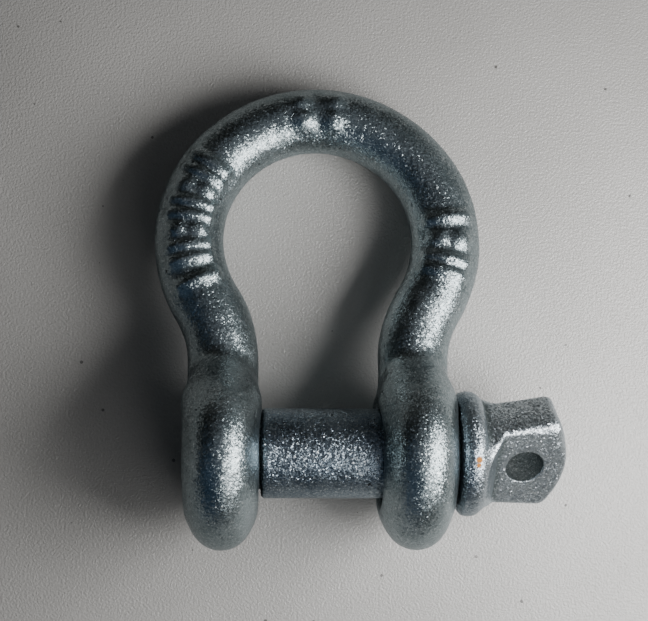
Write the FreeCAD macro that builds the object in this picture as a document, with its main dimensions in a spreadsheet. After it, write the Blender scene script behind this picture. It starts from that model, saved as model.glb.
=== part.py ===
"""Bow shackle with a screw pin, 1/2 inch trade size, in millimetres.

Frame: the origin is on the pin's axis, midway between the two ears of the bow.
+X runs along the pin towards its eye, +Y from the pin to the crown of the bow,
and +Z is square to the plane of the bow.
"""
import FreeCAD, Part
import math
import os

import Sketcher

Vector = FreeCAD.Vector
X_AXIS, Y_AXIS, Z_AXIS = Vector(1, 0, 0), Vector(0, 1, 0), Vector(0, 0, 1)

# Driving dimensions: millimetres and degrees.
SIZES = {
    # bow
    "bar_dia": 12.7,             # round bar at the sides and legs of the bow
    "crown_bar_dia": 11.9,       # the forging draws the bar down a little at the crown
    "bow_inner_width": 33.9,     # widest gap between the sides
    "crown_inside": 56.2,        # pin axis to the inside of the crown
    "jaw_width": 20.8,           # clear gap between the ears
    "leg_straight": 16.0,        # straight part of each leg, from the pin axis
    # ears
    "ear_thickness": 12.9,
    "ear_dia": 33.6,
    "ear_face_dia": 17.3,        # flat face, inside which the rim starts to round
    "ear_tip_radius": 5.6,       # tightest part of the rounded rim
    "root_start": 19.0,          # pin axis to where the bar starts to spread into the ear
    "root_step": 2.5,            # spacing of the root's sections
    # holes
    "clear_hole_dia": 17.5,      # plain hole in the ear on the eye's side
    "clear_hole_round": 1.5,     # rounded mouth of that hole, on the jaw side
    "hole_chamfer": 0.6,
    "tap_mouth_dia": 16.6,       # countersink at both ends of the tapped hole
    # thread, 5/8-11 UNC, right-hand
    "thread_dia": 15.4,
    "thread_pitch": 2.309,
    "thread_depth": 1.25,
    "thread_flank_gap": 0.20,    # measured along the axis, each flank
    "thread_radial_gap": 0.25,
    "thread_flank_angle": 30.0,
    "thread_overcut": 0.15,      # how far a thread tool reaches past the thread's own edge
    # pin
    "pin_dia": 15.6,
    "shoulder_gap": 0.35,        # pin shoulder to the tapped ear's face when screwed home
    "shoulder_chamfer": 0.5,
    "relief_dia": 12.4,          # neck between shoulder and thread
    "relief_length": 1.7,
    "tip_inset": 0.5,            # pin tip below the outer face of the tapped ear
    "tip_chamfer": 1.4,
    "collar_gap": 0.5,           # collar to the plain ear's face when screwed home
    "collar_dia": 21.8,
    "collar_thickness": 4.6,
    "collar_round": 2.2,
    # eye of the pin: a flat plate with a hole
    "neck_dia": 16.6,
    "neck_end_dia": 5.6,         # the neck tapers into the thickness of the plate
    "neck_length": 3.4,
    "eye_turn": 49.0,            # the plate's flat is turned this far from the bow's plane
    "eye_lean": 4.75,            # and the plate leans back this far
    "eye_pivot": 30.0,           # pin position from which it leans
    "eye_thickness": 8.2,
    "eye_width_root": 16.0,      # plate width at the collar
    "eye_width_end": 19.0,       # plate width at its outer corners
    "eye_corner": 40.2,          # pin position of the outer corners
    "eye_end": 43.0,             # pin position of the rounded end
    "eye_corner_radius": 1.1,
    "eye_edge_radius": 0.9,
    "eye_hole": 35.4,            # pin position of the hole's centre
    "eye_hole_dia": 6.5,
    "eye_hole_round": 0.4,
    # the pin's own centre, which carries the lengthwise part of the screw motion
    "core_dia": 4.0,
    "core_start": -4.0,
    "core_length": 24.0,
    "core_gap": 0.05,
    # raised forging marks
    "mark_height": 0.7,          # how far each mark stands proud of the bar
    "rib_radius": 0.9,
    "dot_radius": 2.0,
    # worked out from the sizes above
    "bow_radius": "=bow_inner_width / 2 + bar_dia / 2",
    "bow_centre": "=crown_inside + crown_bar_dia / 2 - bow_radius",
    "leg_offset": "=jaw_width / 2 + ear_thickness / 2",
    "ear_inner": "=jaw_width / 2",
    "ear_outer": "=jaw_width / 2 + ear_thickness",
    "thread_start": "=thread_pitch * 0.5 - ear_outer",
    "flank_slope": "=tan(thread_flank_angle)",
}

# Raised marks, in degrees round the bow, anticlockwise from +X.
RIB_ANGLES = (147, 153, 167, 173, 187, 193, 203, 7, -12, -18)
RIB_SPAN = 66                # how far each rib wraps over the bar
DOT_ANGLES = (160, 180, 97, 83, -3)
DOT_ROLL = 20                # each place has two dots, this far to either side of the top

# How far a root section stands above the bar and in from its side, one pair per step.
ROOT_SWELL = ((0.02, 0.03), (0.45, 0.02), (1.9, 0.02), (4.2, 0.1), (6.6, 0.4))

doc = FreeCAD.newDocument("bow_shackle")
sheet = doc.addObject("Spreadsheet::Sheet", "sizes")


def fill_sheet():
    """Put every size in the sheet, with its name as the cell's alias."""
    for row, (name, value) in enumerate(SIZES.items(), start=1):
        sheet.set("A%d" % row, name)
        sheet.set("B%d" % row, str(value))
        sheet.setAlias("B%d" % row, name)
    doc.recompute()


def size(expression):
    """The present value of an expression over the sheet's names."""
    value = sheet.evalExpression(expression)
    return float(getattr(value, "Value", value))


def bind(obj, **expressions):
    """Tie properties of an object to expressions over the sheet's names."""
    for name, expression in expressions.items():
        obj.setExpression(name.replace("__", "."), in_sheet(expression))


def in_sheet(expression):
    """Write an expression's size names as the sheet's own, which other objects need."""
    out, word = "", ""
    for char in expression + " ":
        if char.isalnum() or char == "_":
            word += char
            continue
        out += "sizes." + word if word in SIZES else word
        out += char
        word = ""
    return out.strip()


def origin_feature(body, role):
    return next(item for item in body.Origin.OriginFeatures if item.Role == role)


# ---------------------------------------------------------------- sketches

def sketch_in(body, name, plane="XY_Plane"):
    """An empty sketch on one of a body's own origin planes."""
    sketch = body.newObject("Sketcher::SketchObject", name)
    sketch.AttachmentSupport = [(origin_feature(body, plane), "")]
    sketch.MapMode = "FlatFace"
    return sketch


def hold(sketch, kind, geometry, expression, name, *more):
    """Add a dimension and tie it to the sheet."""
    row = sketch.addConstraint(Sketcher.Constraint(kind, *geometry, *more, size(expression)))
    sketch.renameConstraint(row, name)
    sketch.setExpression("Constraints." + name, in_sheet(expression))


def place(sketch, geometry, end, x, y):
    """Fix one end of a line or arc, or an arc's centre (end 3), at expressions x and y."""
    tag = "p%d_%d" % (geometry, end)
    hold(sketch, "DistanceX", (-1, 1, geometry, end), x, tag + "_x")
    hold(sketch, "DistanceY", (-1, 1, geometry, end), y, tag + "_y")


def outline(sketch, corners):
    """A closed outline through corners given as expressions (x, y).

    A corner with a third and fourth item, a radius and a turn, starts an arc that
    leads to the next corner: turn +1 for anticlockwise and -1 for clockwise.
    """
    points = [Vector(size(corner[0]), size(corner[1]), 0) for corner in corners]
    count = len(points)
    ends = []
    for index, corner in enumerate(corners):
        start, stop = points[index], points[(index + 1) % count]
        if len(corner) == 2:
            sketch.addGeometry(Part.LineSegment(start, stop))
            ends.append((1, 2))
            continue
        sketch.addGeometry(arc_between(start, stop, size(corner[2]), corner[3]))
        ends.append((1, 2) if corner[3] > 0 else (2, 1))
    for index in range(count):
        after = (index + 1) % count
        sketch.addConstraint(
            Sketcher.Constraint("Coincident", index, ends[index][1], after, ends[after][0]))
    for index, corner in enumerate(corners):
        place(sketch, index, ends[index][0], corner[0], corner[1])
        if len(corner) > 2:
            hold(sketch, "Radius", (index,), corner[2], "radius_%d" % index)


def arc_between(start, stop, radius, turn):
    """The shorter arc of a radius from start to stop."""
    chord = stop - start
    rise = math.sqrt(max(radius ** 2 - chord.Length ** 2 / 4, 0))
    side = Vector(-chord.y, chord.x, 0).normalize() * turn
    centre = (start + stop) / 2 + side * rise
    first, last = (start, stop) if turn > 0 else (stop, start)
    first_angle = math.atan2(first.y - centre.y, first.x - centre.x)
    last_angle = math.atan2(last.y - centre.y, last.x - centre.x)
    return Part.ArcOfCircle(Part.Circle(centre, Z_AXIS, radius), first_angle, last_angle)


def bow_path():
    """Centre line of the bar: leg, reverse bend, bow, reverse bend, leg."""
    sketch = doc.addObject("Sketcher::SketchObject", "bow_path")
    radius, centre = size("bow_radius"), size("bow_centre")
    leg, straight = size("leg_offset"), size("leg_straight")
    rise = centre - straight
    bend = (rise ** 2 + leg ** 2 - radius ** 2) / (2 * (radius - leg))
    turn = math.atan2(rise, leg + bend)

    def arc(x, y, r, start, end):
        return Part.ArcOfCircle(Part.Circle(Vector(x, y, 0), Z_AXIS, r), start, end)

    sketch.addGeometry(Part.LineSegment(Vector(leg, 0, 0), Vector(leg, straight, 0)))
    sketch.addGeometry(arc(leg + bend, straight, bend, math.pi - turn, math.pi))
    sketch.addGeometry(arc(0, centre, radius, -turn, math.pi + turn))
    sketch.addGeometry(arc(-leg - bend, straight, bend, 0, turn))
    sketch.addGeometry(Part.LineSegment(Vector(-leg, straight, 0), Vector(-leg, 0, 0)))
    for first, first_end, second, second_end in (
        (0, 2, 1, 2), (1, 1, 2, 1), (2, 2, 3, 2), (3, 1, 4, 1)):
        sketch.addConstraint(
            Sketcher.Constraint("Tangent", first, first_end, second, second_end))
    place(sketch, 0, 1, "leg_offset", "0")
    place(sketch, 0, 2, "leg_offset", "leg_straight")
    place(sketch, 4, 2, "-leg_offset", "0")
    place(sketch, 4, 1, "-leg_offset", "leg_straight")
    place(sketch, 2, 3, "0", "bow_centre")
    hold(sketch, "Radius", (2,), "bow_radius", "bow_radius")
    return sketch


# ---------------------------------------------------------------- bow

def circle_at(name, radius, x, y, rotation):
    """A section circle of the bar, square to the centre line."""
    circle = doc.addObject("Part::Circle", name)
    circle.Placement = FreeCAD.Placement(Vector(0, 0, 0), rotation)
    bind(circle, Radius=radius, Placement__Base__x=x, Placement__Base__y=y)
    return circle


def bar():
    """The round bar of the bow, swept along its centre line."""
    path = bow_path()
    up = FreeCAD.Rotation(X_AXIS, -90)
    down = FreeCAD.Rotation(X_AXIS, 90)
    across = FreeCAD.Rotation(Y_AXIS, -90)
    sections = [
        circle_at("foot_right", "bar_dia / 2", "leg_offset", "0", up),
        circle_at("leg_right", "bar_dia / 2", "leg_offset", "leg_straight", up),
        circle_at("side_right", "bar_dia / 2", "bow_radius", "bow_centre", up),
        circle_at("crown", "crown_bar_dia / 2", "0", "bow_centre + bow_radius", across),
        circle_at("side_left", "bar_dia / 2", "-bow_radius", "bow_centre", down),
        circle_at("leg_left", "bar_dia / 2", "-leg_offset", "leg_straight", down),
        circle_at("foot_left", "bar_dia / 2", "-leg_offset", "0", down),
    ]
    sweep = doc.addObject("Part::Sweep", "bar")
    sweep.Sections = sections
    sweep.Spine = (path, ["Edge%d" % number for number in range(1, 6)])
    sweep.Solid = True
    return sweep


def ear(name, side):
    """One ear: a thick disc with a rounded rim, turned about the pin's axis."""
    body = doc.addObject("PartDesign::Body", name)
    sketch = sketch_in(body, name + "_profile")
    near, far, middle = "ear_inner", "ear_outer", "leg_offset"
    tip_centre = "ear_dia / 2 - ear_tip_radius"
    face = "ear_face_dia / 2"
    half, drop = size("ear_thickness / 2"), size(tip_centre + " - " + face)
    tip = size("ear_tip_radius")
    flank = (half ** 2 + drop ** 2 - tip ** 2) / (2 * (half - tip))
    lean = math.atan2(drop, flank - half)
    x_mid, y_face, y_tip = size(middle), size(face), size(tip_centre)

    def arc(x, y, r, start, end):
        return Part.ArcOfCircle(Part.Circle(Vector(x, y, 0), Z_AXIS, r), start, end)

    x_near, x_far = size(near), size(far)
    sketch.addGeometry(Part.LineSegment(Vector(x_near, 0, 0), Vector(x_far, 0, 0)))
    sketch.addGeometry(Part.LineSegment(Vector(x_far, 0, 0), Vector(x_far, y_face, 0)))
    sketch.addGeometry(arc(x_far - flank, y_face, flank, 0, lean))
    sketch.addGeometry(arc(x_mid, y_tip, tip, lean, math.pi - lean))
    sketch.addGeometry(arc(x_near + flank, y_face, flank, math.pi - lean, math.pi))
    sketch.addGeometry(Part.LineSegment(Vector(x_near, y_face, 0), Vector(x_near, 0, 0)))
    for first, second in ((0, 1), (5, 0)):
        sketch.addConstraint(Sketcher.Constraint("Coincident", first, 2, second, 1))
    for first, second in ((1, 2), (2, 3), (3, 4), (4, 5)):
        sketch.addConstraint(Sketcher.Constraint("Tangent", first, 2, second, 1))
    place(sketch, 0, 1, near, "0")
    place(sketch, 0, 2, far, "0")
    place(sketch, 1, 2, far, face)
    place(sketch, 5, 1, near, face)
    place(sketch, 3, 3, middle, tip_centre)
    hold(sketch, "Radius", (3,), "ear_tip_radius", "tip_radius")

    turned = body.newObject("PartDesign::Revolution", name + "_disc")
    turned.Profile = sketch
    turned.ReferenceAxis = (origin_feature(body, "X_Axis"), [""])
    turned.Angle = 360
    if side < 0:
        body.Placement = FreeCAD.Placement(Vector(0, 0, 0), FreeCAD.Rotation(Y_AXIS, 180))
    return body


def root(name, side):
    """Where the round bar spreads above and below into the taller ear."""
    sections = []
    centre = "leg_offset" if side > 0 else "-leg_offset"
    flat = FreeCAD.Rotation(Z_AXIS, X_AXIS, Y_AXIS, "ZXY")
    for step, (swell, inset) in enumerate(ROOT_SWELL):
        section = doc.addObject("Part::Ellipse", "%s_section%d" % (name, step))
        section.Placement = FreeCAD.Placement(Vector(0, 0, 0), flat)
        bind(
            section,
            MajorRadius="bar_dia / 2 + %s" % swell,
            MinorRadius="bar_dia / 2 - %s" % inset,
            Placement__Base__x=centre,
            Placement__Base__y="root_start - root_step * %d" % step,
        )
        sections.append(section)
    loft = doc.addObject("Part::Loft", name)
    loft.Sections = sections
    loft.Solid = True
    return loft


def rib(name, angle):
    """A raised rib that wraps over the top of the bar, at an angle round the bow."""
    torus = doc.addObject("Part::Torus", name)
    along = Vector(-math.sin(math.radians(angle)), math.cos(math.radians(angle)), 0)
    out = along.cross(Z_AXIS)
    half = math.radians(RIB_SPAN / 2)
    start = Z_AXIS * math.cos(half) - out * math.sin(half)
    torus.Placement = FreeCAD.Placement(
        Vector(0, 0, 0), FreeCAD.Rotation(start, along.cross(start), along, "ZXY"))
    torus.Angle3 = RIB_SPAN
    bind(
        torus,
        Radius1="bar_dia / 2 + mark_height - rib_radius",
        Radius2="rib_radius",
        Placement__Base__x="cos(%d deg) * bow_radius" % angle,
        Placement__Base__y="bow_centre + sin(%d deg) * bow_radius" % angle,
    )
    return torus


def dot(name, angle, roll):
    """A raised round dot on the bar, at an angle round the bow and a roll from its top."""
    ball = doc.addObject("Part::Sphere", name)
    crown_share = max(math.sin(math.radians(angle)), 0)
    surface = "(bar_dia / 2 - (bar_dia - crown_bar_dia) / 2 * %.3f)" % crown_share
    reach = "(%s + mark_height - dot_radius)" % surface
    out = "(bow_radius + %s * sin(%d deg))" % (reach, roll)
    bind(
        ball,
        Radius="dot_radius",
        Placement__Base__x="cos(%d deg) * %s" % (angle, out),
        Placement__Base__y="bow_centre + sin(%d deg) * %s" % (angle, out),
        Placement__Base__z="%s * cos(%d deg)" % (reach, roll),
    )
    return ball


def turned_tool(name, corners):
    """A solid of revolution about the pin's axis, from its corners (x, radius)."""
    body = doc.addObject("PartDesign::Body", name)
    sketch = sketch_in(body, name + "_profile")
    outline(sketch, corners)
    turned = body.newObject("PartDesign::Revolution", name + "_turned")
    turned.Profile = sketch
    turned.ReferenceAxis = (origin_feature(body, "X_Axis"), [""])
    turned.Angle = 360
    return body


def clear_hole():
    """The plain hole in the ear on the eye's side, with its rounded inner mouth."""
    body = turned_tool("clear_hole", (
        ("ear_inner - 3", "0"),
        ("ear_inner - 3", "clear_hole_dia / 2 + clear_hole_round"),
        ("ear_inner", "clear_hole_dia / 2 + clear_hole_round", "clear_hole_round", 1),
        ("ear_inner + clear_hole_round", "clear_hole_dia / 2"),
        ("ear_outer - hole_chamfer", "clear_hole_dia / 2"),
        ("ear_outer", "clear_hole_dia / 2 + hole_chamfer"),
        ("ear_outer + 3", "clear_hole_dia / 2 + hole_chamfer"),
        ("ear_outer + 3", "0"),
    ))
    return body


def tapped_hole():
    """The tapped hole in the other ear: minor bore, countersinks and thread groove."""
    bore = "thread_dia / 2 - thread_depth + thread_radial_gap"
    sink = "tap_mouth_dia / 2 - (%s)" % bore
    body = turned_tool("tapped_hole", (
        ("-ear_outer - 3", "0"),
        ("-ear_outer - 3", "tap_mouth_dia / 2"),
        ("-ear_outer", "tap_mouth_dia / 2"),
        ("-ear_outer + " + sink, bore),
        ("-ear_inner - (%s)" % sink, bore),
        ("-ear_inner", "tap_mouth_dia / 2"),
        ("-ear_inner + 3", "tap_mouth_dia / 2"),
        ("-ear_inner + 3", "0"),
    ))
    thread = sketch_in(body, "tap_thread_section")
    thread_section(
        thread,
        middle="thread_start - thread_pitch / 2",
        half_crest="thread_flank_gap + thread_pitch / 16",
        low=bore + " - thread_overcut",
        high="thread_dia / 2 + thread_radial_gap",
        widens_inwards=True,
    )
    helix = body.newObject("PartDesign::AdditiveHelix", "tap_thread")
    wind(body, helix, thread, "ear_thickness + thread_pitch")
    return body


def thread_section(sketch, middle, half_crest, low, high, widens_inwards):
    """A thread's section, from radius low to radius high, as wide as stated at the crest."""
    sign = "+" if widens_inwards else "-"
    half_low = "(%s %s (thread_dia / 2 - (%s)) * flank_slope)" % (half_crest, sign, low)
    half_high = "(%s %s (thread_dia / 2 - (%s)) * flank_slope)" % (half_crest, sign, high)
    outline(sketch, (
        (middle + " - " + half_low, low),
        (middle + " + " + half_low, low),
        (middle + " + " + half_high, high),
        (middle + " - " + half_high, high),
    ))


def wind(body, helix, section, length):
    """Wind a thread section right-handed about the pin's axis."""
    helix.Profile = section
    helix.ReferenceAxis = (origin_feature(body, "X_Axis"), [""])
    helix.Mode = "pitch-height-angle"
    helix.Reversed = False
    helix.LeftHanded = False
    bind(helix, Pitch="thread_pitch", Height=length)


def make_bow():
    """The whole bow: one forging, drilled in one ear and tapped in the other."""
    pieces = [bar()]
    for side, tag in ((1, "plain"), (-1, "tapped")):
        pieces.append(ear("ear_" + tag, side))
        pieces.append(root("root_" + tag, side))
    for number, angle in enumerate(RIB_ANGLES):
        pieces.append(rib("rib%d" % number, angle))
    for number, angle in enumerate(DOT_ANGLES):
        pieces.append(dot("dot%d_inner" % number, angle, -DOT_ROLL))
        pieces.append(dot("dot%d_outer" % number, angle, DOT_ROLL))
    blank = doc.addObject("Part::MultiFuse", "bow_blank")
    blank.Shapes = pieces
    tools = doc.addObject("Part::MultiFuse", "hole_tools")
    tools.Shapes = [clear_hole(), tapped_hole()]
    finished = doc.addObject("Part::Cut", "bow")
    finished.Base = blank
    finished.Tool = tools
    finished.Label = "bow"
    return finished


# ---------------------------------------------------------------- screw pin

def make_screw_pin():
    """The screw pin: thread, shank, collar and eye, forged in one piece."""
    body = doc.addObject("PartDesign::Body", "screw_pin")
    body.Label = "screw_pin"
    eye_plate(body)
    shank(body)
    eye_hole(body)
    pin_thread(body)
    core_hollow(body)
    return body


def pin_thread(body):
    """The thread cut on the pin's tip."""
    thread = sketch_in(body, "pin_thread_section")
    thread_section(
        thread,
        middle="thread_start - thread_pitch",
        half_crest="thread_pitch * 7 / 16",
        low="thread_dia / 2 - thread_depth",
        high="thread_dia / 2 + thread_overcut",
        widens_inwards=False,
    )
    helix = body.newObject("PartDesign::SubtractiveHelix", "pin_thread")
    wind(body, helix, thread, "ear_thickness + thread_pitch / 4")


def core_hollow(body):
    """Leave out the steel at the pin's own centre, which is a node of its own."""
    hollow = sketch_in(body, "core_hollow_profile")
    outline(hollow, (
        ("core_start - core_gap", "0"),
        ("core_start + core_length + core_gap", "0"),
        ("core_start + core_length + core_gap", "core_dia / 2 + core_gap"),
        ("core_start - core_gap", "core_dia / 2 + core_gap"),
    ))
    groove = body.newObject("PartDesign::Groove", "core_hollow")
    groove.Profile = hollow
    groove.ReferenceAxis = (origin_feature(body, "X_Axis"), [""])
    groove.Angle = 360


def shank(body):
    """Everything round about the pin's axis: tip, relief, shank, collar and neck."""
    sketch = sketch_in(body, "shank_profile")
    tip = "tip_inset - ear_outer"
    shoulder = "shoulder_gap - ear_inner"
    collar = "ear_outer + collar_gap"
    collar_end = collar + " + collar_thickness"
    outline(sketch, (
        (tip, "0"),
        (tip, "thread_dia / 2 - tip_chamfer"),
        (tip + " + tip_chamfer", "thread_dia / 2"),
        (shoulder + " - relief_length", "thread_dia / 2"),
        (shoulder + " - relief_length", "relief_dia / 2"),
        (shoulder, "relief_dia / 2"),
        (shoulder, "pin_dia / 2 - shoulder_chamfer"),
        (shoulder + " + shoulder_chamfer", "pin_dia / 2"),
        (collar, "pin_dia / 2"),
        (collar, "collar_dia / 2 - collar_round", "collar_round", -1),
        (collar + " + collar_round", "collar_dia / 2"),
        (collar_end + " - collar_round", "collar_dia / 2", "collar_round", -1),
        (collar_end, "collar_dia / 2 - collar_round"),
        (collar_end, "neck_dia / 2"),
        (collar_end + " + neck_length", "neck_end_dia / 2"),
        (collar_end + " + neck_length", "0"),
    ))
    turned = body.newObject("PartDesign::Revolution", "shank")
    turned.Profile = sketch
    turned.ReferenceAxis = (origin_feature(body, "X_Axis"), [""])
    turned.Angle = 360


def edges_at(shape, radius, axis):
    """Names of the circular edges about an axis that have a given radius."""
    names = []
    for number, edge in enumerate(shape.Edges, start=1):
        curve = edge.Curve
        if isinstance(curve, Part.Circle) and abs(curve.Radius - radius) < 1e-4:
            if abs(abs(curve.Axis.dot(axis)) - 1) < 1e-6:
                names.append("Edge%d" % number)
    return names


def eye_plate(body):
    """The flat eye, turned about the pin's axis, with a rounded end and a hole."""
    sketch = sketch_in(body, "eye_outline")
    turn_eye(sketch)
    root_x = "ear_outer + collar_gap + collar_thickness - 1"
    half_root, half_end = "eye_width_root / 2", "eye_width_end / 2"
    width, reach = size(half_end), size("eye_end - eye_corner")
    radius = (width ** 2 + reach ** 2) / (2 * reach)
    spread = math.asin(width / radius)
    x_root, y_root = size(root_x), size(half_root)
    x_corner, x_end = size("eye_corner"), size("eye_end")
    sketch.addGeometry(Part.LineSegment(Vector(x_root, -y_root, 0), Vector(x_corner, -width, 0)))
    circle = Part.Circle(Vector(x_end - radius, 0, 0), Z_AXIS, radius)
    sketch.addGeometry(Part.ArcOfCircle(circle, -spread, spread))
    sketch.addGeometry(Part.LineSegment(Vector(x_corner, width, 0), Vector(x_root, y_root, 0)))
    sketch.addGeometry(Part.LineSegment(Vector(x_root, y_root, 0), Vector(x_root, -y_root, 0)))
    for first in range(4):
        sketch.addConstraint(Sketcher.Constraint("Coincident", first, 2, (first + 1) % 4, 1))
    place(sketch, 0, 1, root_x, "-" + half_root)
    place(sketch, 0, 2, "eye_corner", "-" + half_end)
    place(sketch, 2, 1, "eye_corner", half_end)
    place(sketch, 2, 2, root_x, half_root)
    reach_cell = "eye_end - eye_corner"
    hold(sketch, "Radius", (1,), "((%s)^2 + (%s)^2) / (2 * (%s))" % (
        half_end, reach_cell, reach_cell), "end_radius")

    plate = body.newObject("PartDesign::Pad", "eye_plate")
    plate.Profile = sketch
    plate.Midplane = True
    bind(plate, Length="eye_thickness")
    doc.recompute()
    normal = plate_normal()
    corners = body.newObject("PartDesign::Fillet", "eye_corners")
    corners.Base = (plate, corner_edges(plate.Shape, normal))
    bind(corners, Radius="eye_corner_radius")
    doc.recompute()
    rounded = body.newObject("PartDesign::Fillet", "eye_edges")
    rounded.Base = (corners, rim_edges(corners.Shape, normal))
    bind(rounded, Radius="eye_edge_radius")


def eye_hole(body):
    """The hole through the eye, with its mouths broken."""
    doc.recompute()
    hole_sketch = sketch_in(body, "eye_hole_outline")
    turn_eye(hole_sketch)
    hole_sketch.addGeometry(
        Part.Circle(Vector(size("eye_hole"), 0, 0), Z_AXIS, size("eye_hole_dia / 2")))
    place(hole_sketch, 0, 3, "eye_hole", "0")
    hold(hole_sketch, "Radius", (0,), "eye_hole_dia / 2", "hole_radius")
    hole = body.newObject("PartDesign::Pocket", "eye_hole_cut")
    hole.Profile = hole_sketch
    hole.Midplane = True
    bind(hole, Length="eye_thickness + 4")
    doc.recompute()
    mouth = body.newObject("PartDesign::Fillet", "eye_hole_mouth")
    mouth.Base = (hole, edges_at(hole.Shape, size("eye_hole_dia / 2"), plate_normal()))
    bind(mouth, Radius="eye_hole_round")


def eye_rotation():
    turn = FreeCAD.Rotation(X_AXIS, size("eye_turn"))
    return turn * FreeCAD.Rotation(Y_AXIS, size("eye_lean"))


def turn_eye(sketch):
    """Put a sketch in the eye's own plane: turned about the pin's axis, then leaning back."""
    pivot = Vector(size("eye_pivot"), 0, 0)
    back = FreeCAD.Placement(-pivot, FreeCAD.Rotation())
    sketch.AttachmentOffset = FreeCAD.Placement(pivot, eye_rotation()) * back
    turn = "rotation(vector(1; 0; 0); sizes.eye_turn)"
    lean = "rotation(vector(0; 1; 0); sizes.eye_lean)"
    leaning = "placement(vector(sizes.eye_pivot; 0; 0); %s * %s)" % (turn, lean)
    still = "placement(vector(-sizes.eye_pivot; 0; 0); rotation(vector(0; 0; 1); 0))"
    sketch.setExpression("AttachmentOffset", leaning + " * " + still)


def plate_normal():
    return eye_rotation().multVec(Z_AXIS)


def corner_edges(shape, normal):
    """Edges through the plate's thickness at its two outer corners."""
    names = []
    for number, edge in enumerate(shape.Edges, start=1):
        if not isinstance(edge.Curve, Part.Line):
            continue
        along = abs(edge.Curve.Direction.dot(normal)) > 0.999
        if along and edge.CenterOfMass.x > size("eye_corner - 1"):
            names.append("Edge%d" % number)
    return names


def rim_edges(shape, normal):
    """Edges round the plate's two flat faces."""
    half = size("eye_thickness / 2")
    pivot = Vector(size("eye_pivot"), 0, 0)
    names = []
    for number, edge in enumerate(shape.Edges, start=1):
        ends = [vertex.Point for vertex in edge.Vertexes]
        middle = edge.valueAt((edge.FirstParameter + edge.LastParameter) / 2)
        on_face = all(abs(abs((p - pivot).dot(normal)) - half) < 1e-4 for p in ends + [middle])
        if on_face:
            names.append("Edge%d" % number)
    return names


def make_pin_core():
    """The steel at the pin's own centre."""
    core = doc.addObject("Part::Cylinder", "pin_core")
    core.Label = "pin_core"
    core.Placement = FreeCAD.Placement(Vector(0, 0, 0), FreeCAD.Rotation(Y_AXIS, 90))
    bind(core, Radius="core_dia / 2", Height="core_length", Placement__Base__x="core_start")
    return core


# ---------------------------------------------------------------- build

def check_document(nodes):
    """Stop if any object failed or any sub-part has a bad shape."""
    for obj in doc.Objects:
        if {"Invalid", "Error"} & set(obj.State):
            raise RuntimeError("%s failed: %s" % (obj.Name, obj.State))
    for node in nodes:
        if node.Shape.isNull() or not node.Shape.isValid():
            raise RuntimeError("%s has no valid shape" % node.Label)


def write_steps(nodes):
    os.makedirs("parts", exist_ok=True)
    for node in nodes:
        node.Shape.exportStep("parts/%s.step" % node.Label)
        box = node.Shape.BoundBox
        print("%-12s %d solid(s), %8.1f mm3, x %.1f..%.1f y %.1f..%.1f z %.1f..%.1f" % (
            node.Label, len(node.Shape.Solids), node.Shape.Volume,
            box.XMin, box.XMax, box.YMin, box.YMax, box.ZMin, box.ZMax))


fill_sheet()
sub_parts = [make_bow(), make_screw_pin(), make_pin_core()]
doc.recompute()
check_document(sub_parts)
write_steps(sub_parts)
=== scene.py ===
"""Looks of the bow shackle: a forged bow and a screw pin, zinc coated, on a pale speckled floor.

Each of the two pieces is one closed fine mesh. Its shape is written as a field, in millimetres,
that is below 0 inside the steel; the mesh is the field's zero level, relaxed and then dented a
little where a forging is uneven. The CAD's bow and screw pin stay hidden behind these pieces.
Its pin_core, which lies inside the screw pin, only gets the pin's material.
"""
import math

import bpy
import numpy as np
from mathutils import Euler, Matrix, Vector


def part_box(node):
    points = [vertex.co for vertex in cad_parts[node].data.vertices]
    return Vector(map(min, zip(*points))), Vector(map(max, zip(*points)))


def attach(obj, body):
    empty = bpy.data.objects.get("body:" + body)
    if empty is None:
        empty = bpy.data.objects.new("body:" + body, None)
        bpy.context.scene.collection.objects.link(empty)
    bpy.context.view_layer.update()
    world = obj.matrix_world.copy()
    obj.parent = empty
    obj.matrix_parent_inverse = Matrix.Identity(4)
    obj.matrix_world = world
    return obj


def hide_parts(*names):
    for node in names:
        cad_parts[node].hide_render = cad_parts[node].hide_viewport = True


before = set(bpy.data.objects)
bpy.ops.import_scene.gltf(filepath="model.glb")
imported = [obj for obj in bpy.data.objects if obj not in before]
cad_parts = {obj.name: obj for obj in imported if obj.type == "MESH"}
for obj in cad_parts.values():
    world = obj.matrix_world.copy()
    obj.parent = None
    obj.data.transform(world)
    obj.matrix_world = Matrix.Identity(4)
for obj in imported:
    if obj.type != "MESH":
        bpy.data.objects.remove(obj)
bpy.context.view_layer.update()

MM = 0.001

# ---------------------------------------------------------------- sizes, in millimetres

bow_high = np.array(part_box("bow")[1]) / MM
pin_low, pin_high = (np.array(corner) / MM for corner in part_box("screw_pin"))

BAR_RADIUS = 6.35
CROWN_RADIUS = 5.95
BOW_RADIUS = bow_high[0] - BAR_RADIUS
CROWN_Y = bow_high[1] - CROWN_RADIUS
BOW_CENTRE = CROWN_Y - BOW_RADIUS
EAR_RADIUS = bow_high[2]
EAR_INNER = 10.4
EAR_HALF = 6.45
EAR_OUTER = EAR_INNER + 2 * EAR_HALF
EAR_FACE = 8.65              # radius of the ear's flat face, inside its rounded rim
EAR_TIP = 5.6                # tightest radius of the rim
LEG = EAR_INNER + EAR_HALF
LEG_TOP = 16.0               # where the straight leg ends and the reverse bend starts
LEG_ROOT = 16.5              # where the leg starts to spread towards the ear
ROOT_SPREAD = 0.11           # growth of the leg's height, per square millimetre below its root
ROOT_REACH = 8.0             # how far below its root that growth levels off
EAR_FLATTENED = 0.13         # how much lower the ears' rims are towards the legs
SADDLE = 1.6                 # blend of leg and ear on the bow's own plane
SADDLE_GAIN = 4.0            # and how much wider the blend is on their flanks

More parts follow.
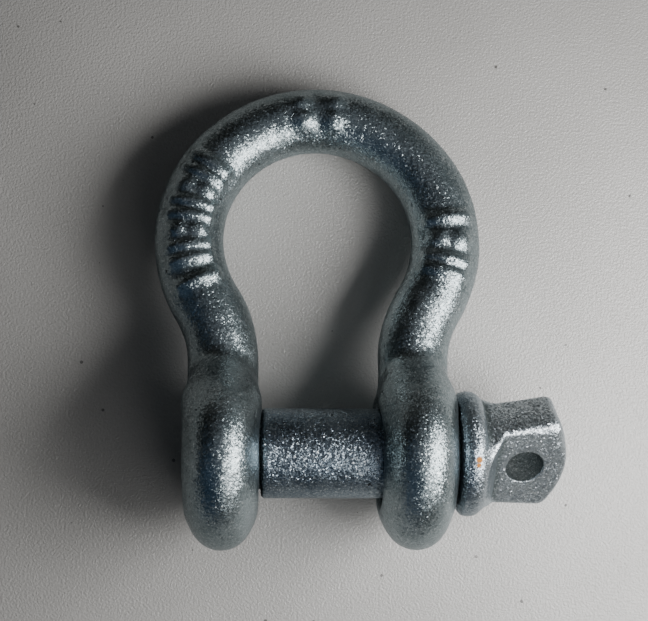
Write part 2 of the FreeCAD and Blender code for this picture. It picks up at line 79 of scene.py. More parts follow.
CLEAR_HOLE = 8.75
CLEAR_MOUTH = 1.5
TAP_MOUTH = 8.3
HOLE_MOUTH = 0.5             # blend at the other mouths of the bow's holes

PITCH = 2.309
CREST = 7.7                  # radius of the pin's thread crests
THREAD_DEPTH = 1.25
FLANK_GAP = 0.20
RADIAL_GAP = 0.25
FLANK_SLOPE = math.tan(math.radians(30))
THREAD_ZERO = -EAR_OUTER - PITCH / 2
THREAD_EASE = 0.85           # scales the threads' fields, whose flanks are steep

PIN_RADIUS = 7.8
PIN_TIP = pin_low[0]
SHOULDER = -10.05
SHOULDER_CHAMFER = 0.5
RELIEF_RADIUS = 6.2
RELIEF_LENGTH = 1.7
TIP_CHAMFER = 1.4
CENTRE_MARK, CENTRE_TAPER = 1.3, 0.9     # of the drilled mark in the tip's middle
COLLAR_START, COLLAR_END = 23.8, 28.4
COLLAR_RADIUS = 10.9
COLLAR_ROUND = 2.2

EYE_TURN = math.radians(49)
EYE_LEAN = math.radians(4.75)
EYE_PIVOT = 30.0             # where the plate starts to lean back
EYE_HALF = 4.1               # half the plate's thickness
EYE_ROOT_HALF, EYE_END_HALF = 8.0, 9.5
EYE_CORNER, EYE_END = 40.2, 42.9
EYE_END_RADIUS, EYE_END_SKEW = 17.5, 0.8
EYE_CORNER_RADIUS = 1.0
EYE_EDGE_RADIUS = 0.7
EYE_SOFT_EDGE = 1.1          # what the upper front edge's radius gains towards the end
EYE_BULGE = 0.016            # how fast the plate's upper side falls away towards its front
EYE_HOLE, EYE_HOLE_RADIUS = 35.4, 3.28
NECK_START = 30.5            # where the ramp up to the collar leaves the flat
NECK_CURVE = 0.8             # how much further out it leaves it at the upper front edge
NECK_SLOPE = 1.5
NECK_RADIUS = 9.0            # of the cone round the ramps, at NECK_START
NECK_CONE = 0.25

# Raised marks, in degrees round the bow from +X, as the CAD has them but a little worn.
RIB_ANGLES = (147, 153, 167, 173, 187, 193, 203, 7, -12, -18)
RIB_HALF_SPAN = math.radians(33)
RIB_RADIUS = 0.9
DOT_ANGLES = (160, 180, 97, 83, -3)
DOT_ROLL = math.radians(20)
DOT_RADIUS = 2.0
MARK_HEIGHT = 0.55
MARK_BLEND = 1.4

BOW_CELL, PIN_CELL = 0.42, 0.27          # grid cells of the meshes
FILLET = 1.17                # blend width that gives a fillet of radius 1
CRISP = 0.2                  # blend width of an edge with hardly any rounding
EYE_HOLE_EDGE = 0.15         # blend width at the mouths of the eye's hole

# Hollows of the forging: depth, and size of the lumps between them.
BOW_DENTS = ((0.07, 7.0), (0.035, 2.4), (0.02, 1.1))
PIN_DENTS = ((0.05, 5.0), (0.02, 1.6))
SHANK_DENTS = 0.15           # share of the pin's hollows that its shank and thread have
# Painted shade: the eye's hole walls count as this sunken, so the zinc paints them darker.
EYE_HOLE_RECESS = 0.7        # how sunken the eye's hole counts as, for its colour


# ---------------------------------------------------------------- fields

def join(a, b, blend):
    """Union of two fields, with a blend of that width between them."""
    share = np.clip(0.5 + 0.5 * (b - a) / blend, 0, 1)
    return b + (a - b) * share - blend * share * (1 - share)


def meet(a, b, blend):
    """Intersection of two fields, with its edge rounded."""
    return -join(-a, -b, blend)


def ramp(value, low, high):
    """0 below low, 1 above high, smooth between."""
    share = np.clip((value - low) / (high - low), 0, 1)
    return share * share * (3 - 2 * share)


def bar_place(p):
    """How far points lie outwards of the bar's centre line, in the plane of the bow."""
    x, y = np.abs(p[:, 0]), p[:, 1]
    rise = BOW_CENTRE - LEG_TOP
    bend = (rise ** 2 + LEG ** 2 - BOW_RADIUS ** 2) / (2 * (BOW_RADIUS - LEG))
    turn = math.atan2(rise, LEG + bend)
    angle = np.arctan2(y - LEG_TOP, LEG + bend - x)
    from_bend = bend - np.hypot(x - LEG - bend, y - LEG_TOP)
    from_bow = np.hypot(x, y - BOW_CENTRE) - BOW_RADIUS
    return np.where(y < LEG_TOP, x - LEG, np.where(angle < turn, from_bend, from_bow))


def bar_radius(p):
    high = np.clip((p[:, 1] - BOW_CENTRE) / BOW_RADIUS, 0, 1)
    return BAR_RADIUS - (BAR_RADIUS - CROWN_RADIUS) * high ** 2


def bar_field(p):
    """The round bar, spreading in height as each leg nears its ear."""
    out, z = bar_place(p), p[:, 2]
    radius = bar_radius(p)
    below = np.clip(LEG_ROOT - p[:, 1], 0, None)
    height = radius + ROOT_SPREAD * below ** 2 / (1 + (below / ROOT_REACH) ** 2)
    near = np.hypot(out / radius, z / height)
    steep = np.hypot(out / radius ** 2, z / height ** 2)
    field = near * (near - 1) / np.maximum(steep, 1e-6)
    return np.maximum(field + 3 * ramp(-p[:, 1], -10, 0), -1 - p[:, 1])


def ear_field(p):
    """Both ears: discs about the pin's axis with rounded rims."""
    side = np.abs(np.abs(p[:, 0]) - LEG)
    reach = np.hypot(p[:, 1] * (1 + EAR_FLATTENED * ramp(p[:, 1], 0, 9)), p[:, 2])
    tip_centre = EAR_RADIUS - EAR_TIP
    drop = tip_centre - EAR_FACE
    flank = (EAR_HALF ** 2 + drop ** 2 - EAR_TIP ** 2) / (2 * (EAR_HALF - EAR_TIP))
    lean = math.atan2(drop, flank - EAR_HALF)
    inset = side - EAR_HALF + flank
    on_flank = np.hypot(inset, reach - EAR_FACE) - flank
    on_tip = np.hypot(side, reach - tip_centre) - EAR_TIP
    rim = np.where(np.arctan2(reach - EAR_FACE, inset) < lean, on_flank, on_tip)
    return np.where(reach < EAR_FACE, side - EAR_HALF, rim)


def mark_field(p):
    """Raised ribs and dots over the top of the bar."""
    x, y, z = p.T
    from_centre = np.hypot(x, y - BOW_CENTRE)
    angle = np.arctan2(y - BOW_CENTRE, x)
    out = from_centre - BOW_RADIUS
    roll, reach = np.arctan2(out, z), np.hypot(out, z)
    radius = bar_radius(p)
    beyond = roll - np.clip(roll, -RIB_HALF_SPAN, RIB_HALF_SPAN)
    rib_line = radius + MARK_HEIGHT - RIB_RADIUS
    section = np.hypot(reach * np.cos(beyond) - rib_line, reach * np.sin(beyond))
    field = np.full(len(p), 1e3)
    for degrees in RIB_ANGLES:
        along = from_centre * np.sin(angle - math.radians(degrees))
        ahead = np.cos(angle - math.radians(degrees)) > 0
        rib = np.hypot(along, section) - RIB_RADIUS
        field = np.where(ahead, np.minimum(field, rib), field)
    for degrees in DOT_ANGLES:
        crown = max(math.sin(math.radians(degrees)), 0)
        surface = BAR_RADIUS - (BAR_RADIUS - CROWN_RADIUS) * crown ** 2
        depth = surface + MARK_HEIGHT - DOT_RADIUS
        for side in (-1, 1):
            arm = BOW_RADIUS + side * depth * math.sin(DOT_ROLL)
            centre = (
                arm * math.cos(math.radians(degrees)),
                BOW_CENTRE + arm * math.sin(math.radians(degrees)),
                depth * math.cos(DOT_ROLL),
            )
            field = np.minimum(field, np.linalg.norm(p - centre, axis=1) - DOT_RADIUS)
    return field


def thread_phase(p, zero):
    """Distance along the axis from the nearest turn of a right-hand groove."""
    turn = np.arctan2(p[:, 2], p[:, 1]) / (2 * math.pi)
    along = p[:, 0] - zero - PITCH * turn
    return np.abs(along - PITCH * np.round(along / PITCH))


def tap_radius(p):
    """Radius of the tapped hole: thread, minor bore and countersunk mouths."""
    away = thread_phase(p, THREAD_ZERO + PITCH / 2)
    low, high = CREST - THREAD_DEPTH + RADIAL_GAP, CREST + RADIAL_GAP
    half_root = FLANK_GAP + PITCH / 16 - RADIAL_GAP * FLANK_SLOPE
    groove = np.clip(high - (away - half_root) / FLANK_SLOPE, low, high)
    depth = np.minimum(p[:, 0] + EAR_OUTER, -EAR_INNER - p[:, 0])
    return np.maximum(groove, TAP_MOUTH - np.maximum(depth, 0))


def hole_field(p):
    """The space of both holes, each on its own side of the bow."""
    reach = np.hypot(p[:, 1], p[:, 2])
    return np.where(p[:, 0] > 0, reach - CLEAR_HOLE, (reach - tap_radius(p)) * THREAD_EASE)


def bow_field(p):
    saddle = SADDLE + SADDLE_GAIN * ramp(np.abs(p[:, 2]), 1, 8)
    blank = join(bar_field(p), ear_field(p), saddle)
    blank = join(blank, mark_field(p), MARK_BLEND)
    inner_mouth = (p[:, 0] > 0) & (p[:, 0] < LEG)
    edge = np.where(inner_mouth, FILLET * CLEAR_MOUTH, HOLE_MOUTH)
    return meet(blank, -hole_field(p), edge)


def pin_thread_radius(p):
    away = thread_phase(p, THREAD_ZERO)
    half_root = PITCH * 7 / 16 - THREAD_DEPTH * FLANK_SLOPE
    rise = (away - half_root) / FLANK_SLOPE
    groove = CREST - THREAD_DEPTH + np.clip(rise, 0, THREAD_DEPTH)
    return np.minimum(groove, CREST - TIP_CHAMFER + (p[:, 0] - PIN_TIP))


def shaft_field(p):
    """Thread, relief and plain shank, up to inside the collar."""
    x, reach = p[:, 0], np.hypot(p[:, 1], p[:, 2])
    relief_start = SHOULDER - RELIEF_LENGTH
    thread = (reach - pin_thread_radius(p)) * THREAD_EASE
    thread = meet(thread, x - relief_start, CRISP)
    thread = meet(thread, PIN_TIP - x, CRISP)
    centre_mark = reach - CENTRE_MARK + (x - PIN_TIP) * CENTRE_TAPER
    thread = meet(thread, -centre_mark, CRISP)
    relief = np.maximum(reach - RELIEF_RADIUS, np.abs(x - relief_start) - 2 * RELIEF_LENGTH)
    shank = meet(reach - PIN_RADIUS, SHOULDER - x, FILLET * SHOULDER_CHAMFER * 1.6)
    shank = np.maximum(shank, x - COLLAR_END)
    return np.minimum(np.minimum(thread, relief), shank)


def eye_frame(p):
    """Places along, across and through the eye's plate, which leans back from its pivot."""
    across = p[:, 1] * math.cos(EYE_TURN) + p[:, 2] * math.sin(EYE_TURN)
    out = p[:, 2] * math.cos(EYE_TURN) - p[:, 1] * math.sin(EYE_TURN)
    past = p[:, 0] - EYE_PIVOT
    along = EYE_PIVOT + past * math.cos(EYE_LEAN) - out * math.sin(EYE_LEAN)
    through = out * math.cos(EYE_LEAN) + past * math.sin(EYE_LEAN)
    return along, across, through


def eye_side(along, across, through):
    """The plate's two long sides, which flare towards its end; the upper one bulges."""
    flare = (EYE_END_HALF - EYE_ROOT_HALF) / (EYE_CORNER - COLLAR_END)
    half = EYE_ROOT_HALF + flare * (along - COLLAR_END)
    half -= EYE_BULGE * np.where(across > 0, np.maximum(through + EYE_HALF / 2, 0) ** 2, 0)
    return (np.abs(across) - half) / math.hypot(1, flare)


def plate_field(p):
    along, across, through = eye_frame(p)
    away = np.hypot(along - EYE_END + EYE_END_RADIUS, across - EYE_END_SKEW)
    outline = meet(
        eye_side(along, across, through), away - EYE_END_RADIUS, FILLET * EYE_CORNER_RADIUS)
    soft = ramp(along, 31, EYE_END) * ramp(across, 0, 5) * ramp(through, 0, 2)
    edge = EYE_EDGE_RADIUS + EYE_SOFT_EDGE * soft
    plate = meet(outline, np.abs(through) - EYE_HALF, FILLET * edge)
    return np.maximum(plate, COLLAR_START + 1 - p[:, 0])


def neck_field(p):
    """Steep ramps from the eye's two flats up to the collar, within a cone about the pin."""
    along, across, through = eye_frame(p)
    rise = NECK_SLOPE * (NECK_START + NECK_CURVE * ramp(across, 2, 8) - along)
    ramps = (np.abs(through) - EYE_HALF - rise) / math.hypot(1, NECK_SLOPE)
    neck = meet(ramps, eye_side(along, across, through), FILLET * EYE_EDGE_RADIUS)
    widening = NECK_CONE * (NECK_START - p[:, 0])
    cone = np.hypot(p[:, 1], p[:, 2]) - NECK_RADIUS - widening
    neck = meet(neck, cone / math.hypot(1, NECK_CONE), 0.4)
    return np.maximum(np.maximum(neck, COLLAR_START + 1 - p[:, 0]), p[:, 0] - EYE_HOLE)


def collar_field(p):
    middle, half = (COLLAR_START + COLLAR_END) / 2, (COLLAR_END - COLLAR_START) / 2
    out = np.hypot(p[:, 1], p[:, 2]) - COLLAR_RADIUS + COLLAR_ROUND
    side = np.abs(p[:, 0] - middle) - half + COLLAR_ROUND
    past = np.hypot(np.maximum(out, 0), np.maximum(side, 0))
    return past + np.minimum(np.maximum(out, side), 0) - COLLAR_ROUND


def pin_field(p):
    head = join(plate_field(p), neck_field(p), 0.35)
    head = join(head, collar_field(p), 0.9)
    along, across, _ = eye_frame(p)
    hole = np.hypot(along - EYE_HOLE, across) - EYE_HOLE_RADIUS
    head = meet(head, -hole, EYE_HOLE_EDGE)
    return join(head, shaft_field(p), CRISP)


# ---------------------------------------------------------------- meshes from fields

def sample(field, low, high, cell):
    """The field on a grid of points, one slab after another."""
    axes = [np.arange(low[k] - 2 * cell, high[k] + 3 * cell, cell) for k in range(3)]
    y, z = np.meshgrid(axes[1], axes[2], indexing="ij")
    slabs = []
    for x in axes[0]:
        p = np.column_stack((np.full(y.size, x), y.ravel(), z.ravel()))
        slabs.append(field(p).reshape(y.shape))
    return np.array(slabs), np.array([axis[0] for axis in axes])


def settle(values, rounds=4, inside=-0.001):
    """Fill, in place, one corner of each cell face that the level crosses twice.

    Four quads would otherwise share an edge there.
    """
    for _ in range(rounds):
        for pair in ((0, 1), (1, 2), (0, 2)):
            face = np.moveaxis(values, pair, (0, 1))
            a, b, c, d = face[:-1, :-1], face[1:, :-1], face[1:, 1:], face[:-1, 1:]
            twice = ((a < 0) == (c < 0)) & ((b < 0) == (d < 0)) & ((a < 0) != (b < 0))
            a[twice] = np.minimum(a[twice], inside)
            b[twice] = np.minimum(b[twice], inside)


def surface_net(values):
    """Quads over the zero level of a grid: one point in each cell that the level crosses."""
    shape = values.shape
    strides = np.array((shape[1] * shape[2], shape[2], 1))
    cells, points, quads, flips = [], [], [], []
    for axis in range(3):
        low = [slice(None)] * 3
        high = [slice(None)] * 3
        low[axis], high[axis] = slice(0, -1), slice(1, None)
        a, b = values[tuple(low)], values[tuple(high)]
        corner = np.argwhere((a < 0) != (b < 0))
        a, b = a[tuple(corner.T)], b[tuple(corner.T)]
        place = corner.astype(float)
        place[:, axis] += a / (a - b)
        ids = corner @ strides
        u, v = strides[(axis + 1) % 3], strides[(axis + 2) % 3]
        round_edge = np.column_stack((ids, ids - u, ids - u - v, ids - v))
        cells.append(round_edge.ravel())
        points.append(np.repeat(place, 4, axis=0))
        quads.append(round_edge)
        flips.append(a >= 0)
    cells, points = np.concatenate(cells), np.concatenate(points)
    quads, flips = np.concatenate(quads), np.concatenate(flips)
    names, number = np.unique(cells, return_inverse=True)
    count = np.bincount(number)
    sums = [np.bincount(number, points[:, k]) for k in range(3)]
    quads = np.searchsorted(names, quads)
    quads[flips] = quads[flips][:, ::-1]
    return np.column_stack(sums) / count[:, None], quads


def slope_of(field, p, step=0.02):
    """The field's gradient, by central differences."""
    columns = []
    for axis in range(3):
        shift = np.zeros(3)
        shift[axis] = step
        columns.append((field(p + shift) - field(p - shift)) / (2 * step))
    return np.column_stack(columns)


def onto_level(field, p, most, rounds=3):
    """Move points onto the field's zero level, no further than most each time."""
    for _ in range(rounds):
        slope = slope_of(field, p)
        square = np.maximum((slope ** 2).sum(1), 0.05)
        move = -(field(p) / square)[:, None] * slope
        length = np.linalg.norm(move, axis=1)[:, None]
        p = p + move * np.minimum(1, most / np.maximum(length, 1e-9))
    return p


def neighbour_mean(p, quads):
    """The mean of each row's neighbours along the quads' sides."""
    a = quads.ravel()
    b = np.roll(quads, -1, axis=1).ravel()
    ends = np.concatenate((a, b)), np.concatenate((b, a))
    count = np.bincount(ends[0], minlength=len(p))
    sums = [np.bincount(ends[0], column[ends[1]], len(p)) for column in p.T]
    return np.column_stack(sums) / count[:, None]


def relaxed(field, p, quads, cell, rounds=5):
    """Even out the points within the surface."""
    p = onto_level(field, p, cell)
    for _ in range(rounds):
        normal = unit(slope_of(field, p))
        move = neighbour_mean(p, quads) - p
        move -= (move * normal).sum(1)[:, None] * normal
        p = onto_level(field, p + 0.6 * move, cell / 2, rounds=1)
    return onto_level(field, p, cell / 2, rounds=2)


def unit(vectors):
    return vectors / np.maximum(np.linalg.norm(vectors, axis=1), 1e-9)[:, None]


LATTICE = np.random.default_rng(11).random((32, 32, 32))


def noise(p, size):
    """Smooth noise from -1 to 1 whose lumps are about size millimetres across."""
    scaled = p / size + 100
    base = np.floor(scaled).astype(int)
    part = scaled - base
    part = part * part * (3 - 2 * part)
    total = np.zeros(len(p))
    for corner in np.ndindex(2, 2, 2):
        index = (base + corner) % 32
        weight = np.prod(np.where(corner, part, 1 - part), axis=1)
        total += weight * LATTICE[index[:, 0], index[:, 1], index[:, 2]]
    return total * 2 - 1


def build(name, field, low, high, cell, dent, recess, hollow):
    """One piece: its mesh with a 'hollow' attribute, which is how sunken each point is; the zinc
    paints shade and adds roughness by it.
    """
    values, start = sample(field, low, high, cell)
    settle(values)
    p, quads = surface_net(values)
    p = relaxed(field, start + p * cell, quads, cell)
    normal = unit(slope_of(field, p))
    sunk = ((neighbour_mean(p, quads) - p) * normal).sum(1)
    for _ in range(6):
        sunk = neighbour_mean(sunk[:, None], quads)[:, 0]
    p = p - normal * dent(p)[:, None]
    mesh = bpy.data.meshes.new(name)
    mesh.from_pydata(p * MM, [], quads.tolist())
    mesh.shade_smooth()
    attribute = mesh.attributes.new("hollow", "FLOAT", "POINT")
    shade = np.clip(np.maximum(sunk / hollow, recess(p)), -1, 1)
    attribute.data.foreach_set("value", shade.astype(np.float32))
    piece = bpy.data.objects.new(name, mesh)
    bpy.context.scene.collection.objects.link(piece)
    return piece


def dents(p, layers):
    """How deep the surface lies, from layers of hollows."""
    return sum(depth * (1 + noise(p, size)) for depth, size in layers)


def bow_dent(p):
    """Shallow hollows of the forging, and none in or round the holes."""
    return dents(p, BOW_DENTS) * ramp(np.hypot(p[:, 1], p[:, 2]), 10.5, 13)


def bow_recess(p):
    """1 on the walls of both holes, which the zinc darkens as painted shade."""
    wall = ramp(hole_field(p), 0.3, 0.1)
    return wall * (np.hypot(p[:, 1], p[:, 2]) < CLEAR_HOLE + 0.3)


def pin_recess(p):
    """Above 0 on the wall of the eye's hole, deepening from its mouths: the painted shade of that
    hole.
    """
    along, across, through = eye_frame(p)
    wall = np.hypot(along - EYE_HOLE, across) < EYE_HOLE_RADIUS + 0.25
    wall = wall * (along > NECK_START)
    return EYE_HOLE_RECESS * wall * ramp(EYE_HALF - np.abs(through), -0.15, 0.2)


def pin_dent(p):
    """Light hollows on the pin's head, and hardly any on its shank and thread."""
    share = SHANK_DENTS + (1 - SHANK_DENTS) * ramp(p[:, 0], 26, 29)
    return dents(p, PIN_DENTS) * share


# ---------------------------------------------------------------- materials

class Tree:
    """A material's or world's node tree, written one node to a line."""

    def __init__(self, owner):
        owner.use_nodes = True
        self.tree = owner.node_tree
        self.tree.nodes.clear()

    def add(self, kind, settings=None, **inputs):
        """A node of a kind, with its settings, and its inputs set or linked by name."""
        made = self.tree.nodes.new("ShaderNode" + kind)
        for name, value in (settings or {}).items():
            setattr(made, name, value)
        for name, value in inputs.items():
            self.feed(made, name.replace("_", " "), value)
        return made

    def feed(self, node, name, value):
        """Set or link one input, named or numbered as input0, input1 and so on."""
        numbered = name.startswith("input")
        socket = node.inputs[int(name[5:])] if numbered else node.inputs[name]
        if isinstance(value, bpy.types.NodeSocket):
            self.tree.links.new(value, socket)
        else:
            socket.default_value = value

    def noise(self, place, scale, detail=2.0, roughness=0.5, distortion=0.0):
        made = self.add(
            "TexNoise", Vector=place, Scale=scale, Detail=detail, Roughness=roughness,
            Distortion=distortion)
        return made.outputs["Fac"]

    def spread(self, value, low, high, to_low=0.0, to_high=1.0):
        """A value mapped from one range to another, held at its ends."""
        made = self.add("MapRange", {"interpolation_type": "SMOOTHSTEP"}, Value=value)
        for name, number in (
            ("From Min", low), ("From Max", high), ("To Min", to_low), ("To Max", to_high)):
            made.inputs[name].default_value = number
        return made.outputs["Result"]

    def math(self, operation, a, b):
        return self.add("Math", {"operation": operation}, input0=a, input1=b).outputs[0]

    def mix(self, share, a, b):
        """Two colours mixed."""
        made = self.add("Mix", {"data_type": "RGBA"})
        self.feed(made, "input0", share)
        for index, value in ((6, a), (7, b)):
            self.feed(made, "input%d" % index, value)
        return made.outputs[2]

    def bump(self, height, depth, normal=None):
        """A bump whose full height stands depth metres."""
        made = self.add("Bump", Strength=1.0, Distance=depth, Height=height)
        if normal is not None:
            self.tree.links.new(normal, made.inputs["Normal"])
        return made.outputs["Normal"]

    def facets(self, place, scale, tilt, normal):
        """A normal tilted at random in each of many tiny crystals, and more in a few of them."""
        cells = self.add("TexVoronoi", Vector=place, Scale=scale)
        way = self.add(
            "VectorMath", {"operation": "SUBTRACT"}, input0=cells.outputs["Color"],
            input1=(0.5, 0.5, 0.5))
        share = self.add("SeparateColor", Color=cells.outputs["Color"]).outputs[0]
        way = self.add(
            "VectorMath", {"operation": "SCALE"}, input0=way.outputs[0],
            Scale=self.spread(share, 0.8, 1.0, tilt, 2.3 * tilt))
        tilted = self.add("VectorMath", {"operation": "ADD"}, input0=normal, input1=way.outputs[0])
        return self.add(
            "VectorMath", {"operation": "NORMALIZE"}, input0=tilted.outputs[0]).outputs[0]

    def near(self, place, spot, radius, wobble):
        """1 within a radius of a spot and 0 outside, with an edge made uneven by wobble."""
        away = self.add("VectorMath", {"operation": "DISTANCE"}, input0=place, input1=spot)
        away = self.math("ADD", away.outputs["Value"], self.math("MULTIPLY", wobble, radius))
        return self.spread(away, radius * 1.1, radius * 1.7, 1.0, 0.0)


def rgb(red, green, blue):
    return (red, green, blue, 1.0)


BOW_BRIGHT, BOW_DULL = rgb(0.385, 0.45, 0.47), rgb(0.265, 0.32, 0.335)
PIN_BRIGHT, PIN_DULL = rgb(0.29, 0.345, 0.39), rgb(0.17, 0.215, 0.26)
PIN_HEAD = rgb(0.56, 0.62, 0.66)
# Painted shade in the hollows and on the holes' walls.
PAINTED_SHADE_IN_HOLLOWS = rgb(0.10, 0.125, 0.125)
# Painted glints (bright flecks of colour standing in for highlights), and dark flecks.
PAINTED_GLINT, DARK_FLECK = rgb(0.80, 0.84, 0.85), rgb(0.10, 0.125, 0.13)
PIT = rgb(0.07, 0.08, 0.085)
PIT_DEPTH = 0.00005
ZINC_EDGE = rgb(0.7, 0.72, 0.73)         # tint of the zinc's reflections at grazing angles

# A patch of rust on the collar, made of two spots: place in millimetres, and radius.
RUST = rgb(0.66, 0.25, 0.03)
RUST_SHARE = 0.93
PIN_RUST = (((26.5, -2.6, 10.6), 0.58), ((26.4, -3.5, 10.4), 0.42))

LAMINATE = rgb(0.62, 0.61, 0.59), rgb(0.68, 0.67, 0.65)
LAMINATE_GRAIN = rgb(0.46, 0.45, 0.43)
LAMINATE_SPECK = rgb(0.07, 0.065, 0.06)
# Grey of the backdrop, and of the painted glow that the floor emits far from the shackle.
BACKDROP_GREY_AND_FLOOR_GLOW = rgb(0.42, 0.42, 0.41)             # of the backdrop, and of the floor far away
FLOOR_GLOW_CENTRE = (0, 0.03, 0)
FLOOR_GLOW_START, FLOOR_GLOW_FULL = 0.10, 0.36       # metres from there


def zinc(name, bright, dull, grain, lumps, facet, head=None, spots=()):
    """Zinc over steel: softly shiny and finely grained with painted glints, rougher and with
    painted shade in hollows and holes, with small pits.

    Its bumps are grain and lumps metres deep, and facet is how far its crystals tilt. The pin's
    head, beyond its shank, may have a colour of its own, and there may be spots of rust.
    """
    material = bpy.data.materials.new("zinc_" + name)
    tree = Tree(material)
    place = tree.add("TexCoord").outputs["Object"]
    hollow = tree.add("Attribute", {"attribute_name": "hollow"}).outputs["Fac"]
    cloud = tree.noise(place, 130, detail=3.0, roughness=0.6)
    fleck = tree.noise(place, 2700, roughness=0.6, distortion=0.8)
    pit = tree.spread(tree.noise(place, 900, roughness=0.6, distortion=0.6), 0.69, 0.74)

    colour = tree.mix(tree.spread(cloud, 0.3, 0.7), dull, bright)
    if head is not None:
        along = tree.add("SeparateXYZ", Vector=place).outputs["X"]
        colour = tree.mix(tree.spread(along, 0.023, 0.031), colour, head)
    # Painted shade: darker colour in hollows and on the holes' walls, where 'hollow' is high.
    colour = tree.mix(tree.spread(hollow, 0.0, 0.9, 0.0, 0.85), colour, PAINTED_SHADE_IN_HOLLOWS)
    # Painted highlight: bright flecks of colour that stand in for glints off tiny crystals.
    colour = tree.mix(tree.spread(fleck, 0.53, 0.7, 0.0, 0.6), colour, PAINTED_GLINT)
    colour = tree.mix(tree.spread(fleck, 0.3, 0.47, 0.5, 0.0), colour, DARK_FLECK)
    colour = tree.mix(pit, colour, PIT)
    roughness = tree.spread(cloud, 0.25, 0.75, 0.27, 0.35)
    roughness = tree.math("ADD", roughness, tree.spread(hollow, 0.0, 1.0, 0.0, 0.2))

    metallic = None
    for spot, radius in spots:
        centre = tuple(value * MM for value in spot)
        rust = tree.near(place, centre, radius * MM, fleck)
        colour = tree.mix(tree.math("MULTIPLY", rust, RUST_SHARE), colour, RUST)
        roughness = tree.math("MAXIMUM", roughness, tree.math("MULTIPLY", rust, 0.8))
        clean = tree.math("SUBTRACT", 1.0, rust)
        metallic = clean if metallic is None else tree.math("MULTIPLY", metallic, clean)

    uneven = tree.bump(tree.noise(place, 480, detail=1.0), lumps)
    peel = tree.bump(tree.noise(place, 1500, detail=1.5, distortion=0.4), 2 * grain, uneven)
    fine = tree.bump(fleck, grain, peel)
    pitted = tree.bump(tree.math("SUBTRACT", 1.0, pit), PIT_DEPTH, fine)
    crystals = tree.facets(place, 4800, facet, pitted)
    shader = tree.add("BsdfPrincipled", Base_Color=colour, Roughness=roughness, Normal=crystals)
    tree.feed(shader, "Metallic", 1.0 if metallic is None else metallic)
    tree.feed(shader, "Specular Tint", ZINC_EDGE)
    output = tree.add("OutputMaterial")
    tree.tree.links.new(shader.outputs[0], output.inputs["Surface"])
    return material


def floor_material():
    """Pale matt laminate with dark specks and a fine uneven grain, with a painted glow far from
    the shackle.
    """
    material = bpy.data.materials.new("speckled_laminate")
    tree = Tree(material)
    place = tree.add("TexCoord").outputs["Object"]
    cloud = tree.noise(place, 30, detail=3.0, roughness=0.6)
    grain = tree.noise(place, 1700, detail=3.0, roughness=0.7)
    cells = tree.add("TexVoronoi", Vector=place, Scale=230.0)
    size = tree.spread(
        tree.add("SeparateColor", Color=cells.outputs["Color"]).outputs[0], 0.45, 1.0, 0.0, 0.075)
    speck = tree.math("LESS_THAN", cells.outputs["Distance"], size)
    colour = tree.mix(tree.spread(cloud, 0.3, 0.7), *LAMINATE)
    colour = tree.mix(tree.spread(grain, 0.35, 0.75, 0.0, 0.22), colour, LAMINATE_GRAIN)
    colour = tree.mix(tree.math("MULTIPLY", speck, 0.75), colour, LAMINATE_SPECK)
    normal = tree.bump(tree.noise(place, 2300, roughness=0.55, distortion=0.2), 0.00018)
    # Painted light: the floor emits a grey glow that grows with distance from the shackle.
    away = tree.add("VectorMath", {"operation": "DISTANCE"}, input0=place, input1=FLOOR_GLOW_CENTRE)
    floor_glow = tree.spread(away.outputs["Value"], FLOOR_GLOW_START, FLOOR_GLOW_FULL)
    shader = tree.add(
        "BsdfPrincipled", Base_Color=colour, Roughness=0.32, Specular_IOR_Level=0.9,
        Normal=normal, Emission_Color=BACKDROP_GREY_AND_FLOOR_GLOW, Emission_Strength=floor_glow)
    output = tree.add("OutputMaterial")
    tree.tree.links.new(shader.outputs[0], output.inputs["Surface"])
    return material


# ---------------------------------------------------------------- the pieces

bow = build(
    "forged_bow", bow_field, np.array((-bow_high[0], -EAR_RADIUS, -EAR_RADIUS)), bow_high,
    BOW_CELL, bow_dent, bow_recess, hollow=0.02)
pin = build(
    "forged_screw_pin", pin_field, pin_low, pin_high, PIN_CELL, pin_dent, pin_recess,
    hollow=0.012)
bow.data.materials.append(
    zinc("bow", BOW_BRIGHT, BOW_DULL, grain=0.00004, lumps=0.00007, facet=0.27))
pin.data.materials.append(
    zinc(
        "screw_pin", PIN_BRIGHT, PIN_DULL, grain=0.00006, lumps=0.00005, facet=0.36,
        head=PIN_HEAD, spots=PIN_RUST))
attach(bow, "bow")
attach(pin, "screw_pin")
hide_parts("bow")
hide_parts("screw_pin")
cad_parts["pin_core"].data.materials.clear()
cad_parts["pin_core"].data.materials.append(pin.data.materials[0])


# ---------------------------------------------------------------- floor, light and camera

# The camera, fitted to the photo: place in millimetres, turn in degrees.
CAMERA_PLACE = (-10.56, -31.97, 223.83)
CAMERA_TURN = (14.45, -2.90, -0.31)
CAMERA_LENS, CAMERA_SENSOR = 71.64, 36.0

LIGHT_AIM = Vector((0.015, 0.03, 0))
LIGHT_COLOUR = (1.0, 0.99, 0.98)


def make_floor(half=1.6):
    """The plane, 2 * half metres wide, that the ears' rims and the crown rest on."""
    tilt = math.asin((EAR_RADIUS - CROWN_RADIUS) / CROWN_Y)
    mesh = bpy.data.meshes.new("floor")
    corners = [(-half, -half, 0), (half, -half, 0), (half, half, 0), (-half, half, 0)]
    mesh.from_pydata(corners, [], [(0, 1, 2, 3)])
    mesh.materials.append(floor_material())
    floor = bpy.data.objects.new("floor", mesh)
    floor.location.z = -EAR_RADIUS / math.cos(tilt) * MM
    floor.rotation_euler.x = tilt
    bpy.context.scene.collection.objects.link(floor)


def towards(bearing, height):
    """The direction of a bearing from +X and a height, in degrees."""
    level = math.cos(math.radians(height))
    return (
        level * math.cos(math.radians(bearing)),
        level * math.sin(math.radians(bearing)),
        math.sin(math.radians(height)),
    )


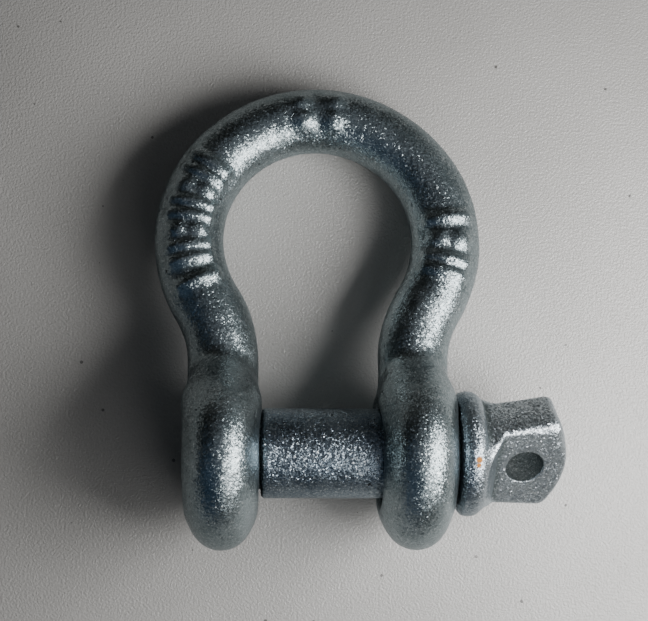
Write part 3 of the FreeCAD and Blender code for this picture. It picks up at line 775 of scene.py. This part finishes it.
def panel(name, bearing, height, distance, width, tall, power):
    """A softbox that faces the shackle, from a bearing from +X and a height in degrees."""
    light = bpy.data.lights.new(name, "AREA")
    light.shape = "RECTANGLE"
    light.size, light.size_y = width, tall
    light.energy, light.color = power, LIGHT_COLOUR
    made = bpy.data.objects.new(name, light)
    away = Vector(towards(bearing, height))
    made.location = LIGHT_AIM + away * distance
    made.rotation_euler = away.to_track_quat("Z", "Y").to_euler()
    made.visible_camera = False
    bpy.context.scene.collection.objects.link(made)


DARK_ROOM = rgb(0.008, 0.0075, 0.006)    # the rest of the room that the zinc mirrors
ROOM_FILL = rgb(0.013, 0.012, 0.010)     # the room as it lights matt surfaces

# Its brighter parts: bearing from +X and height, how sharply each ends, and its colour.
ROOM = (
    ((25, 38), 0.7, rgb(0.20, 0.22, 0.23)),
    ((-120, 40), 0.5, rgb(0.035, 0.062, 0.10)),
    ((20, 84), 0.75, rgb(0.15, 0.16, 0.18)),
)


def make_world():
    """A dim room, with a few soft brighter parts that the zinc mirrors, and a pale backdrop."""
    world = bpy.data.worlds.new("room")
    bpy.context.scene.world = world
    tree = Tree(world)
    look = tree.add("TexCoord").outputs["Generated"]
    colour = DARK_ROOM
    for (bearing, height), edge, bright in ROOM:
        facing = tree.add(
            "VectorMath", {"operation": "DOT_PRODUCT"}, input0=look,
            input1=towards(bearing, height))
        share = tree.spread(facing.outputs["Value"], edge, 1.0)
        colour = tree.mix(share, colour, bright)
    path = tree.add("LightPath")
    colour = tree.mix(path.outputs["Is Diffuse Ray"], colour, ROOM_FILL)
    colour = tree.mix(path.outputs["Is Camera Ray"], colour, BACKDROP_GREY_AND_FLOOR_GLOW)
    shade = tree.add("Background", Color=colour, Strength=1.0)
    output = tree.add("OutputWorld")
    tree.tree.links.new(shade.outputs[0], output.inputs["Surface"])


def make_camera():
    camera = bpy.data.cameras.new("camera")
    camera.lens, camera.sensor_width = CAMERA_LENS, CAMERA_SENSOR
    made = bpy.data.objects.new("camera", camera)
    made.location = Vector(CAMERA_PLACE) * MM
    made.rotation_euler = Euler(math.radians(angle) for angle in CAMERA_TURN)
    bpy.context.scene.collection.objects.link(made)
    bpy.context.scene.camera = made


make_floor()
panel("window", bearing=-27, height=41, distance=0.15, width=0.115, tall=0.095, power=0.33)
panel("window_side", bearing=-70, height=36, distance=0.19, width=0.11, tall=0.10, power=0.055)
make_world()
make_camera()
